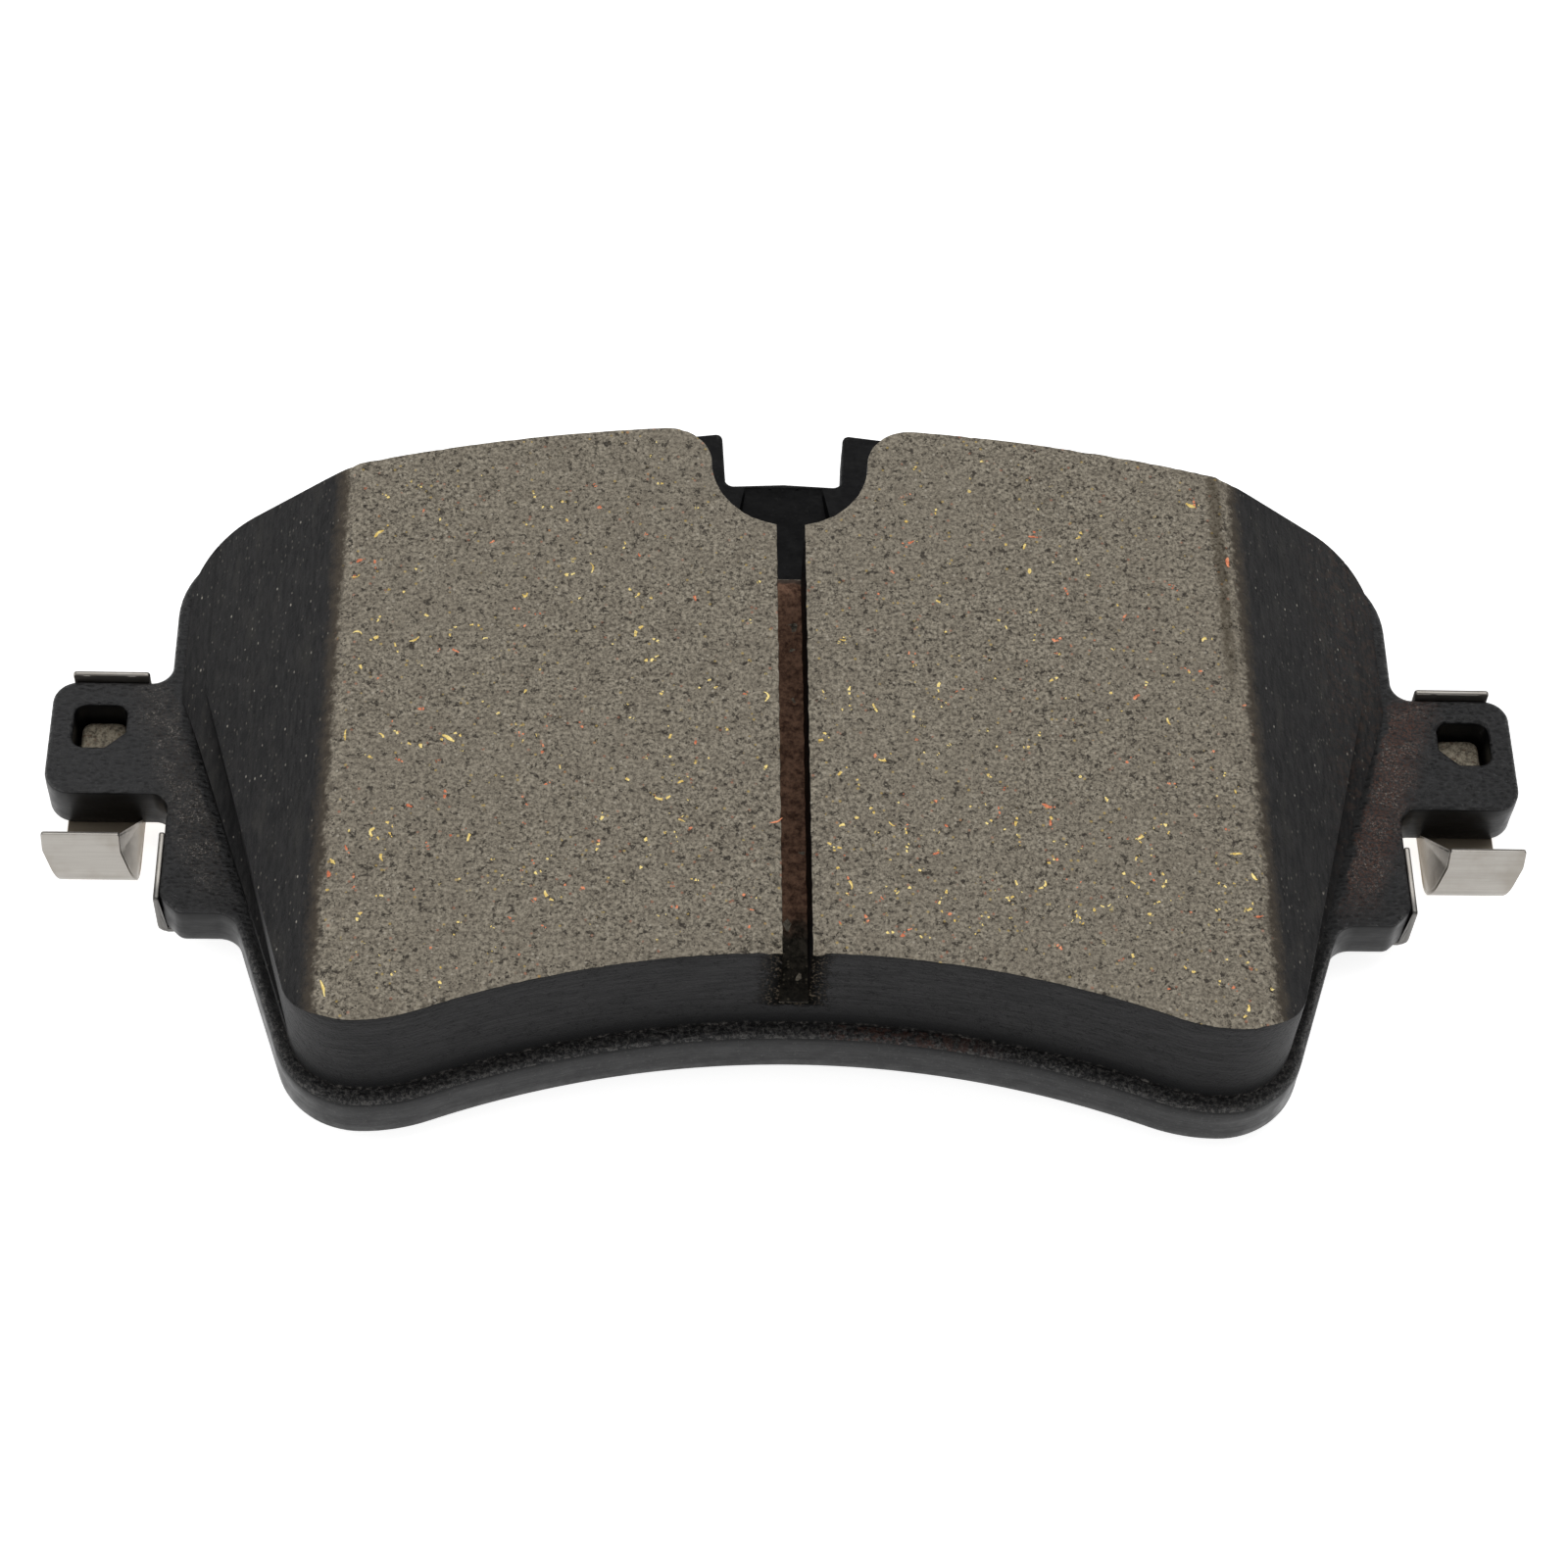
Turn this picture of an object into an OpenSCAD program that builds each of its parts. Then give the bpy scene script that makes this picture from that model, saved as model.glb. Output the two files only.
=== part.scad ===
// Disc brake pad with spring clips on its ears.
// The pad lies on its back: X runs along the pad, Y towards the radially outer
// edge, Z from the back towards the disc. The origin is on the back face of the
// noise shim, on the plane of symmetry, level with the lower edges of the ears.

/* [Backing plate] */
// Thickness of the steel plate
plate_t = 5.0; // [4.5:0.1:6]
// Width over the two ears
ear_span = 131; // [129:0.5:134]
// Height of an ear, from its lower guide edge to its upper edge
ear_h = 11.9; // [11:0.1:13]
// Width over the two shoulders, under the ears
shoulder_span = 109; // [108:0.5:110]
// Depth of a shoulder below the lower edge of the ear
shoulder_h = 12.2; // [11.6:0.1:13]
// Bevel on the lower corner of a shoulder
shoulder_bevel = 1.7; // [1:0.1:2]
// Width of the plate above the ears
crown_span = 110.2; // [109.8:0.2:110.6]
// Height of the outer corners of the plate above the ear line
crown_h = 27.5; // [27.4:0.1:28]
// Radius of the outer corners
crown_r = 8.6; // [8.2:0.1:9]
// Height of the outer edge on the centre line, without the fork
crest_h = 34.7; // [34:0.1:35]

/* [Inner edge] */
// Radius of the hollow inner edge
hub_r = 84.5; // [84:0.1:85]
// Height of that edge on the centre line, below the ear line
hub_y = -23.95; // [-24.2:0.05:-23.7]
// Angle at which the hollow edge runs out into the lower lobes
hub_turn = 21.2; // [21:0.05:21.5]
// Radius of a lower lobe next to the hollow edge
foot_r = 16; // [15.5:0.1:16.5]
// Radius of a lower lobe at its outer corner
lobe_r = 7.5; // [7:0.1:8]
// Lean of the slanting sides from upright
side_lean = 18.4; // [17:0.1:20]

/* [Sensor fork] */
// Width over the two prongs
fork_w = 23; // [21:0.5:25]
// Height of the prongs above the ear line
fork_h = 41.6; // [40.8:0.1:42.2]
// Width of the notch between the prongs
notch_w = 11; // [10.4:0.1:11.2]
// Height of the bottom of the notch above the ear line
notch_y = 35.3; // [35.2:0.1:36]
// Depth of the sensor seat below the face of the plate
seat_d = 2; // [1:0.1:2.5]

/* [Retaining holes] */
// Distance of a hole's inner side from the centre line
hole_in = 58.8; // [58.5:0.1:59.2]
// Distance of a hole's outer side from the centre line
hole_out = 63.4; // [63:0.1:63.6]
// Height of a hole's lower side above the ear line
hole_lo = 4.9; // [4.5:0.1:5.2]
// Height of a hole's upper side above the ear line
hole_hi = 9.4; // [9:0.1:9.6]

/* [Lining] */
// Thickness of the adhesive film on the plate
bond_t = 0.15; // [0.1:0.05:0.2]
// Thickness of the underlayer
under_t = 1.85; // [1.5:0.05:2.5]
// Thickness of the friction lining
lining_t = 10; // [8:0.5:11]
// Margin of bare plate round the inner edge and the sides
rim = 1.25; // [1.1:0.05:1.6]
// Half width of the lining where its sides run straight up
lining_half = 54; // [53.6:0.1:54]
// Half width of the flat rubbing face
face_half = 38.5; // [38:0.1:39]
// Width of the slight first bevel beside that face
break_w = 1.3; // [1:0.1:1.5]
// Fall of the first bevel over its width
break_drop = 0.55; // [0.4:0.05:0.6]
// Fall of the main bevel for each millimetre outwards
bevel_slope = 0.79; // [0.76:0.01:0.79]
// Width of the centre slot
slot_w = 2.5; // [2:0.1:3]
// Depth of the centre slot
slot_d = 8.3; // [6:0.1:9]
// Radius of the sensor bay in the outer edge of the lining
bay_r = 7; // [6.5:0.1:7.5]
// Height of the centre of that bay above the ear line
bay_y = 28.5; // [28:0.1:29]

/* [Noise shim] */
// Thickness of the shim's adhesive
shim_glue_t = 0.15; // [0.1:0.05:0.2]
// Thickness of the shim's steel core
shim_core_t = 0.6; // [0.5:0.05:0.8]
// Thickness of the shim's rubber coat
shim_coat_t = 0.15; // [0.1:0.05:0.2]
// Margin between the shim and the edge of the plate
shim_rim = 3; // [2.5:0.1:4]
// Half width of the shim
shim_half = 48.5; // [46:0.5:50]

/* [Spring clips] */
// Thickness of the spring steel
sheet_t = 0.45; // [0.4:0.05:0.5]
// Width of the clip's strip over the ear
strip_w = 6.8; // [6.5:0.1:7]
// Distance of the strip's inner side from the centre line
strip_in = 57.0; // [57:0.1:57.3]
// Outer radius of the loop below the ear
loop_r = 2.6; // [2.2:0.1:3]
// Distance of the loop's centre below the ear line
loop_drop = 4.2; // [4:0.1:5]
// Angle that the loop turns through
loop_turn = 109; // [100:1:115]
// Angle of the loop that belongs to the clip, before the free leg starts
root_turn = 40; // [35:1:45]
// Length of the straight part of the free leg
leg_len = 3.8; // [3:0.1:4.5]
// Outward shift of the free leg's end
leg_shift = 1.1; // [0.8:0.05:1.5]
// Height of the top leaf above the face of the plate
leaf_rise = 0.8; // [0:0.1:1.2]
// Top end of the side leaf, below the ear line
leaf_top = 3.9; // [3.5:0.1:5]
// Bottom end of the side leaf, below the ear line
leaf_end = 10.9; // [10.8:0.1:11.2]

/* [Hidden] */

eps = 0.01;
arc_step = 9;             // degrees between points of a small arc
overlap = 0.3;            // how far two parts of one sheet run into each other
ear_half = ear_span / 2;
shoulder_half = shoulder_span / 2;
crown_half = crown_span / 2;
notch_half = notch_w / 2;

// Heights of the layers, from the back up
shim_t = shim_glue_t + shim_core_t + shim_coat_t;
plate_z = shim_t;
bond_z = plate_z + plate_t;
under_z = bond_z + bond_t;
lining_z = under_z + under_t;
face_z = lining_z + lining_t;

// Hollow inner edge and the two arcs of a lobe, which meet it smoothly
hub_cy = hub_y - hub_r;
foot_x = (hub_r + foot_r) * sin(hub_turn);
foot_y = hub_cy + (hub_r + foot_r) * cos(hub_turn);
lobe_y = foot_y - foot_r + lobe_r;

// Outer edges: the arcs end in flat shoulders at this half width
arc_half = 38.5;
crest_r = arc_radius(crest_h, crown_h + 1);
lining_crest = 32.8;
lining_corner_h = 26.8;
lining_step = 0.95;       // rise of the straight edge from the corner to the arc
lining_crest_r = arc_radius(lining_crest, lining_corner_h + lining_step);
lining_corner_r = 6;
shim_drop = 1.6;          // how far the shim's outer edge lies inside the lining's
lip_r = 3.9;              // rounding at the mouth of the bay

fork_half = fork_w / 2;
fork_fall = 0.8;          // the prongs slope down outwards by this much
seat_half_in = 4.4;       // half width of the seat at its inner end
seat_half_out = 3.3;      // and at the notch
seat_y = 24;
seat_ramp_y = 29.5;       // the seat's floor rises from here to the notch

// Retaining hole: how far its inner lower corner is cut away
hole_cut_x = 1.7;
hole_cut_y = 1.6;
hole_r = 1.1;
// Button of the clip in that hole
button_gap = 0.15;
button_short = 0.2;       // the button stops short of the hole's outer side
button_rise = 2.4;        // height of the button's top over the plate's back

clip_z = plate_z - sheet_t;
web_in = 51.2;            // inner side of the web behind the shoulder
web_neck_y = 0.6;
leaf_x = shoulder_half;
joint_gap = 0.12;         // clearance at the flexing point of the loop
loop_cz = clip_z + loop_r;
mid_r = loop_r - sheet_t / 2;
loop_steps = 10;
skew_start = 2.6;         // runs along the sheet between which the leg shifts
skew_end = 6.4;
// Half of that clearance, as an angle at the middle of the sheet
gap_turn = atan(joint_gap / 2 / mid_r);

// Radius of an arc that is `top` high on the centre line and `low` at arc_half
function arc_radius(top, low) = (pow(arc_half, 2) + pow(top - low, 2)) / (2 * (top - low));

// Points along an arc, in either direction
function arc(cx, cy, r, a0, a1, n) =
    [for (i = [0:n]) let (a = a0 + (a1 - a0) * i / n) [cx + r * cos(a), cy + r * sin(a)]];

// Points of a corner p rounded to radius r, between its neighbours a and b
function corner(a, p, b, r) =
    let (u = (a - p) / norm(a - p), v = (b - p) / norm(b - p))
    let (half = acos(u * v) / 2, mid = (u + v) / norm(u + v))
    let (c = p + mid * r / sin(half), s = p + u * r / tan(half), e = p + v * r / tan(half))
    let (a0 = atan2(s.y - c.y, s.x - c.x), a1 = atan2(e.y - c.y, e.x - c.x))
    let (turn = ((a1 - a0 + 540) % 360) - 180)
    arc(c.x, c.y, r, a0, a0 + turn, max(2, ceil(abs(turn) / arc_step)));

// Outline with rounded corners: each entry is a point and a radius, 0 for sharp
function rounded(list) =
    let (n = len(list))
    [for (i = [0:n - 1])
        let (p = list[i][0], r = list[i][1])
        each r == 0 ? [p] : corner(list[(i + n - 1) % n][0], p, list[(i + 1) % n][0], r)];

// Both halves of an outline that is listed for the right side, bottom to top
function both_sides(list) =
    let (n = len(list))
    concat(list, [for (i = [n - 1:-1:0]) if (abs(list[i][0].x) > eps)
        [[-list[i][0].x, list[i][0].y], list[i][1]]]);

function sharp(points) = [for (p = points) [p, 0]];

// Inner edge, lobe and slanting side, moved inwards by m, up to the half width x
function lower_edge(m, x) =
    let (r = lobe_r - m)
    let (end = [foot_x + r * cos(side_lean), lobe_y - r * sin(side_lean)])
    concat(
        sharp(arc(0, hub_cy, hub_r + m, 90, 90 - hub_turn, 20)),
        sharp(arc(foot_x, foot_y, foot_r - m, -90 - hub_turn + 4, -90, 4)),
        sharp(arc(foot_x, lobe_y, r, -83, -side_lean, 9)),
        [[[x, end.y + (x - end.x) / tan(side_lean)], 2.2]]);

// Outer edge from the half width x to the centre, before any notch
function outer_arc(top, r, x0, x1, n) =
    [for (i = [0:n]) let (x = x0 + (x1 - x0) * i / n) [x, top - r + sqrt(r * r - x * x)]];

// Half width of the slanting side at the underside of the shoulder
side_x = foot_x + lobe_r * cos(side_lean)
    + (-lobe_y + lobe_r * sin(side_lean) - shoulder_h) * tan(side_lean);

module plate_outline() {
    polygon(rounded(both_sides(concat(
        lower_edge(0, side_x),
        [
            [[shoulder_half - shoulder_bevel, -shoulder_h], 1.2],
            [[shoulder_half, -shoulder_h + shoulder_bevel], 1.2],
            [[shoulder_half, 0], 1.5],
            [[ear_half, 0], 2.4],
            [[ear_half, ear_h], 2.2],
            [[crown_half, ear_h], 1.8],
            [[crown_half, crown_h], crown_r],
        ],
        sharp(outer_arc(crest_h, crest_r, arc_half, fork_half + 2.5, 12)),
        [
            [[fork_half, crest_h - 0.5], 1.5],
            [[fork_half, fork_h - fork_fall], 2],
            [[notch_half + 0.2, fork_h], 0.6],
            [[notch_half - 0.1, notch_y], 0.8],
            [[0, notch_y + 0.3], 0],
        ]))));
}

// Outline of the retaining hole on the right, moved inwards by m, and short of
// its outer side by s
module hole_outline(m, s) {
    x0 = hole_in + m;
    x1 = hole_out - m - s;
    y0 = hole_lo + m;
    y1 = hole_hi - m;
    slopes = [1 / hole_cut_x, 1 / hole_cut_y];
    cut = 1 + m * (norm(slopes) - slopes.x - slopes.y);
    polygon(rounded([
        [[x0 + cut * hole_cut_x, y0], 0.3],
        [[x1, y0], hole_r - m],
        [[x1, y1], hole_r - m],
        [[x0, y1], hole_r - m],
        [[x0, y0 + cut * hole_cut_y], 0.3],
    ]));
}

// Seat for the sensor: a pocket under the bay whose floor rises to the notch
module sensor_seat() {
    intersection() {
        translate([0, 0, plate_z])
            linear_extrude(plate_t + 1)
                polygon([[-seat_half_in, seat_y], [seat_half_in, seat_y],
                         [seat_half_in, seat_ramp_y + 1.5],
                         [seat_half_out, notch_y + 2], [-seat_half_out, notch_y + 2],
                         [-seat_half_in, seat_ramp_y + 1.5]]);
        rotate([90, 0, 90])
            translate([0, 0, -seat_half_in - 1])
                linear_extrude(2 * seat_half_in + 2)
                    polygon([[seat_y - 1, bond_z - seat_d], [seat_ramp_y, bond_z - seat_d],
                             [notch_y + 0.2, bond_z], [notch_y + 3, bond_z + 1],
                             [seat_y - 1, bond_z + 1]]);
    }
}

module backing_plate() {
    color("#2f2f30") difference() {
        translate([0, 0, plate_z])
            linear_extrude(plate_t)
                plate_outline();
        for (side = [0, 1])
            mirror([side, 0, 0])
                translate([0, 0, plate_z - 1])
                    linear_extrude(plate_t + 2)
                        hole_outline(0, 0);
        sensor_seat();
    }
}

module lining_outline() {
    polygon(rounded(both_sides(concat(
        lower_edge(rim, lining_half),
        [
            [[lining_half, lining_corner_h], lining_corner_r],
            [[arc_half + 0.6, lining_corner_h + lining_step - 0.2], 0],
        ],
        sharp(outer_arc(lining_crest, lining_crest_r, arc_half, bay_r + lip_r + 0.5, 14)),
        [[[bay_r, lining_crest - 0.2], lip_r]],
        sharp(arc(0, bay_y, bay_r, 0, -90, 14))))));
}

// What the two bevels take off one end of the lining
module end_bevel() {
    x = face_half + break_w;
    z = face_z - break_drop;
    run = 20;
    translate([0, 60, 0])
        rotate([90, 0, 0])
            linear_extrude(120)
                polygon([[face_half, face_z], [x, z],
                         [x + run, z - run * bevel_slope],
                         [x + run, face_z + 1], [face_half, face_z + 1]]);
}

// One layer of the lining, from z over a height of t
module lining_layer(z, t) {
    difference() {
        translate([0, 0, z])
            linear_extrude(t)
                lining_outline();
        for (side = [0, 1])
            mirror([side, 0, 0])
                end_bevel();
    }
}

module bond_film() {
    color("#5a3a1c") lining_layer(bond_z, bond_t);
}

module underlayer() {
    color("#3a3734") lining_layer(under_z, under_t);
}

module friction_lining() {
    color("#7a7265") difference() {
        lining_layer(lining_z, lining_t);
        translate([-slot_w / 2, -40, face_z - slot_d])
            cube([slot_w, 40 + bay_y, slot_d + 1]);
    }
}

module shim_layer(z, t) {
    translate([0, 0, z])
        linear_extrude(t)
            polygon(rounded(both_sides(concat(
                lower_edge(shim_rim, shim_half),
                [[[shim_half, lining_corner_h - shim_drop], lining_corner_r]],
                sharp(outer_arc(lining_crest - shim_drop, lining_crest_r,
                                arc_half, 0, 16))))));
}

module shim_rubber_coat() {
    color("#1f1f20") shim_layer(0, shim_coat_t);
}

module shim_core() {
    color("#8a8d8f") shim_layer(shim_coat_t, shim_core_t);
}

module shim_adhesive() {
    color("#b9a37a") shim_layer(shim_coat_t + shim_core_t, shim_glue_t);
}

// Web behind the ear and the shoulder, on the right
module clip_web() {
    translate([0, 0, clip_z])
        linear_extrude(sheet_t)
            polygon(rounded([
                [[web_in, -leaf_end], 0.8],
                [[leaf_x + sheet_t, -leaf_end], 0],
                [[leaf_x + sheet_t, web_neck_y], 0.6],
                [[strip_in, web_neck_y], 0.6],
                [[strip_in, -loop_drop], 0],
                [[strip_in + strip_w, -loop_drop], 0],
                [[strip_in + strip_w, ear_h + sheet_t], 0],
                [[strip_in, ear_h + sheet_t], 0],
                [[strip_in, ear_h - 1.5], 0.6],
                [[web_in, ear_h - 4.5], 1.5],
            ]));
}

// Start of the loop, as far as the flexing point
module loop_root() {
    turn = root_turn - gap_turn;
    cy = -loop_drop;
    translate([strip_in, 0, 0])
        rotate([90, 0, 90])
            linear_extrude(strip_w)
                polygon(concat(
                    [[cy + overlap, loop_cz - loop_r + sheet_t], [cy + overlap, loop_cz - loop_r]],
                    arc(cy, loop_cz, loop_r, -90, -90 - turn, 5),
                    arc(cy, loop_cz, loop_r - sheet_t, -90 - turn, -90, 5)));
}

// Raised button that locks the clip in the plate's hole, hollow from behind
module clip_button() {
    difference() {
        translate([0, 0, clip_z])
            linear_extrude(sheet_t + button_rise)
                hole_outline(button_gap, button_short);
        translate([0, 0, clip_z - 1])
            linear_extrude(1 + button_rise)
                hole_outline(button_gap + sheet_t, button_short);
    }
}

module clip_leaves() {
    translate([leaf_x, -leaf_end, clip_z])
        cube([sheet_t, leaf_end - leaf_top, plate_t + sheet_t - 0.1]);
    translate([strip_in, ear_h, clip_z])
        cube([strip_w, sheet_t, plate_t + sheet_t + leaf_rise]);
}

module clip() {
    color("#c9c5bd") union() {
        difference() {
            clip_web();
            translate([0, 0, clip_z - 1])
                linear_extrude(sheet_t + 2)
                    hole_outline(button_gap + sheet_t, button_short);
        }
        loop_root();
        clip_button();
        clip_leaves();
    }
}

// Outward shift of the free leg after a run along its middle line, from the web
function shift_at(run) =
    leg_shift * max(0, min(1, (run - skew_start) / (skew_end - skew_start)));

// Four corners of the leg's section where the loop has turned through a, and
// `along` further on in a straight line
function leg_section(a, along) =
    let (s = strip_in + shift_at(mid_r * a * PI / 180 + along))
    let (dir = [-cos(a), sin(a)] * along)
    [for (c = [[0, 0], [1, 0], [1, 1], [0, 1]])
        let (r = loop_r - c.y * sheet_t)
        [s + c.x * strip_w, -loop_drop - r * sin(a) + dir.x, loop_cz - r * cos(a) + dir.y]];

module clip_leg() {
    first = root_turn + gap_turn;
    rings = concat(
        [for (i = [0:loop_steps])
            leg_section(first + (loop_turn - first) * i / loop_steps, 0)],
        [leg_section(loop_turn, skew_end - mid_r * loop_turn * PI / 180)],
        [leg_section(loop_turn, leg_len)]);
    last = len(rings) - 1;
    color("#c9c5bd") polyhedron(
        points = [for (ring = rings) each ring],
        faces = concat(
            [[0, 1, 2, 3]],
            [for (i = [0:last - 1], k = [0:3])
                let (n = (k + 1) % 4)
                [4 * i + k, 4 * i + 4 + k, 4 * i + 4 + n, 4 * i + n]],
            [[4 * last + 3, 4 * last + 2, 4 * last + 1, 4 * last]]));
}

module right_clip() {
    clip();
}

module right_clip_leg() {
    clip_leg();
}

module left_clip() {
    mirror([1, 0, 0]) clip();
}

module left_clip_leg() {
    mirror([1, 0, 0]) clip_leg();
}

backing_plate();
bond_film();
underlayer();
friction_lining();
shim_adhesive();
shim_core();
shim_rubber_coat();
left_clip();
left_clip_leg();
right_clip();
right_clip_leg();
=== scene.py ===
import bpy
import math
import random
from mathutils import Matrix, Vector, geometry, kdtree, noise


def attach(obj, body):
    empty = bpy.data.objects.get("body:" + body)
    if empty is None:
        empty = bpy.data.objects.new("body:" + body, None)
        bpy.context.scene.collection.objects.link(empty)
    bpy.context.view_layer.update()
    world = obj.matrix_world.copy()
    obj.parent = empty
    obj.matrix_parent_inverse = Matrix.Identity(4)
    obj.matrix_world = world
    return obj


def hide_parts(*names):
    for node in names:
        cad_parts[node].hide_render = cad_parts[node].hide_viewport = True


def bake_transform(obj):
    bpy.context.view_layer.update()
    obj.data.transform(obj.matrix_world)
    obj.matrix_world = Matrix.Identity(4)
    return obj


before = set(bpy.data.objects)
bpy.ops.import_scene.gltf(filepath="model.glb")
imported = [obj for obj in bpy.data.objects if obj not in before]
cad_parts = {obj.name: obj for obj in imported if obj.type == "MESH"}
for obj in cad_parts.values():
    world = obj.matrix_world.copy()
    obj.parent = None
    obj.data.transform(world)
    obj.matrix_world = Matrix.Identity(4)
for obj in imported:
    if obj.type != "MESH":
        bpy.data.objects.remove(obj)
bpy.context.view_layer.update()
MM = 0.001

# ---------------------------------------------------------------- outlines (mm)
PLATE_Z, BOND_Z, UNDER_Z, LINING_Z, FACE_Z = 0.9, 5.9, 6.05, 7.9, 17.9
HUB_Y, HUB_R = -23.95, 84.5
HUB_CY = HUB_Y - HUB_R
HUB_TURN = 21.2
FOOT_R, LOBE_R = 16.0, 7.5
FOOT_X = (HUB_R + FOOT_R) * math.sin(math.radians(HUB_TURN))
FOOT_Y = HUB_CY + (HUB_R + FOOT_R) * math.cos(math.radians(HUB_TURN))
LOBE = (FOOT_X, FOOT_Y - FOOT_R + LOBE_R)
LEAN = 18.4
ARC_HALF = 38.5
FACE_HALF, BREAK_X, BREAK_Z, BEVEL = 38.5, 39.8, 17.35, 0.79
SIDE = 54.0
SLOT_HALF, SLOT_Z = 1.25, 9.6
BAY_R, BAY_Y = 7.0, 28.5
RIM = 1.25
EAR, EAR_H, EAR_ROOT = 65.5, 11.9, 55.1
SHOULDER, SHOULDER_H, SHOULDER_BEVEL = 54.5, 12.2, 1.7
CREST, CROWN, CROWN_R = 34.7, 27.5, 8.6
L_CREST, L_CORNER, L_CORNER_R, LIP_R = 32.8, 26.9, 6.0, 3.9
FORK_X, FORK_Y = 11.5, 40.8
NOTCH_MOUTH, NOTCH_FLOOR = (5.7, 41.6), (5.4, 35.3)


def clamp(v):
    return max(0.0, min(1.0, v))


def fade(v, lo, hi):
    """Smooth step from 0 at lo to 1 at hi."""
    t = clamp((v - lo) / (hi - lo))
    return t * t * (3 - 2 * t)


def arc(cx, cy, r, a0, a1, n):
    steps = [math.radians(a0 + (a1 - a0) * i / n) for i in range(n + 1)]
    return [(cx + r * math.cos(a), cy + r * math.sin(a)) for a in steps]


def corner(a, p, b, r, step=6):
    """Arc of radius r that rounds the corner p between the points a and b."""
    a, p, b = Vector(a), Vector(p), Vector(b)
    u, v = (a - p).normalized(), (b - p).normalized()
    half = u.angle(v) / 2
    mid = (u + v).normalized()
    c = p + mid * r / math.sin(half)
    s, e = p + u * r / math.tan(half), p + v * r / math.tan(half)
    a0 = math.degrees(math.atan2(s.y - c.y, s.x - c.x))
    a1 = math.degrees(math.atan2(e.y - c.y, e.x - c.x))
    turn = (a1 - a0 + 540) % 360 - 180
    return arc(c.x, c.y, r, a0, a0 + turn, max(2, math.ceil(abs(turn) / step)))


def rounded(items):
    """Closed outline from pairs of a point and its corner radius."""
    out, n = [], len(items)
    for i, (p, r) in enumerate(items):
        out += corner(items[i - 1][0], p, items[(i + 1) % n][0], r) if r else [p]
    return out


def both_sides(items):
    """A right half with its mirror image added."""
    return items + [((-p[0], p[1]), r) for p, r in reversed(items) if abs(p[0]) > 0.01]


def sharp(points):
    return [(p, 0) for p in points]


def lower_edge(m, x):
    """Inner edge, foot and slanting side up to x, set in by m from the plate's own edge."""
    r = LOBE_R - m
    lean = math.radians(LEAN)
    fx, fy = LOBE[0] + r * math.cos(lean), LOBE[1] - r * math.sin(lean)
    return (
        sharp(arc(0, HUB_CY, HUB_R + m, 90, 90 - HUB_TURN, 40))
        + sharp(arc(FOOT_X, FOOT_Y, FOOT_R - m, -90 - HUB_TURN, -90, 8)[1:])
        + sharp(arc(*LOBE, r, -90, -LEAN, 16)[1:])
        + [((x, fy + (x - fx) / math.tan(lean)), 2.2)]
    )


def arc_radius(top, low):
    """Radius of the arc that falls from top to low over ARC_HALF."""
    return (ARC_HALF**2 + (top - low) ** 2) / (2 * (top - low))


def outer_arc(top, r, x0, x1, n):
    xs = [x0 + (x1 - x0) * i / n for i in range(n + 1)]
    return [(x, top - r + math.sqrt(r * r - x * x)) for x in xs]


def lining_low(x):
    """Height of the lining's inner edge at x."""
    return HUB_CY + math.sqrt((HUB_R + RIM) ** 2 - x**2)


def bay_low(x):
    """Height of the round bay's lower edge at x."""
    return BAY_Y - math.sqrt(BAY_R**2 - x**2)


def plate_half():
    lean = math.radians(LEAN)
    side_x = (
        LOBE[0]
        + LOBE_R * math.cos(lean)
        + (-LOBE[1] + LOBE_R * math.sin(lean) - SHOULDER_H) * math.tan(lean)
    )
    return (
        lower_edge(0, side_x)
        + [
            ((SHOULDER - SHOULDER_BEVEL, -SHOULDER_H), 1.2),
            ((SHOULDER, -SHOULDER_H + SHOULDER_BEVEL), 1.2),
            ((SHOULDER, 0), 1.5),
            ((EAR, 0), 2.4),
            ((EAR, EAR_H), 2.2),
            ((EAR_ROOT, EAR_H), 1.8),
            ((EAR_ROOT, CROWN), CROWN_R),
        ]
        + sharp(outer_arc(CREST, arc_radius(CREST, CROWN + 1.0), ARC_HALF, 14, 16))
        + [
            ((FORK_X, CREST - 0.5), 1.5),
            ((FORK_X, FORK_Y), 2),
            (NOTCH_MOUTH, 0.6),
            (NOTCH_FLOOR, 0.8),
            ((0, NOTCH_FLOOR[1] + 0.3), 0),
        ]
    )


def slot_edge(y):
    """Half width of the slot, which wanders a little along its length."""
    return SLOT_HALF + 0.1 * noise.noise(Vector((7, y * 0.9, 0)))


def lining_half(slot):
    """Right half of the lining's outline; with slot, the block beside the slot."""
    low = lower_edge(RIM, SIDE)
    top = (
        [((SIDE, L_CORNER - 0.1), L_CORNER_R), ((ARC_HALF + 0.6, L_CORNER + 0.6), 0)]
        + sharp(outer_arc(L_CREST, arc_radius(L_CREST, L_CORNER + 0.85), ARC_HALF, 11.4, 20))
        + [((BAY_R, L_CREST - 0.2), LIP_R)]
        + sharp(arc(0, BAY_Y, BAY_R, 0, -90, 20))
    )
    if not slot:
        return low + top
    low = [q for q in low if q[0][0] > SLOT_HALF + 0.1]
    top = [q for q in top if q[0][0] > SLOT_HALF + 0.1]
    y0, y1 = lining_low(SLOT_HALF), bay_low(SLOT_HALF)
    n = 60
    wall = [(slot_edge(y1 + (y0 - y1) * i / n), y1 + (y0 - y1) * i / n) for i in range(n + 1)]
    return low + top + sharp(wall)


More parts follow.
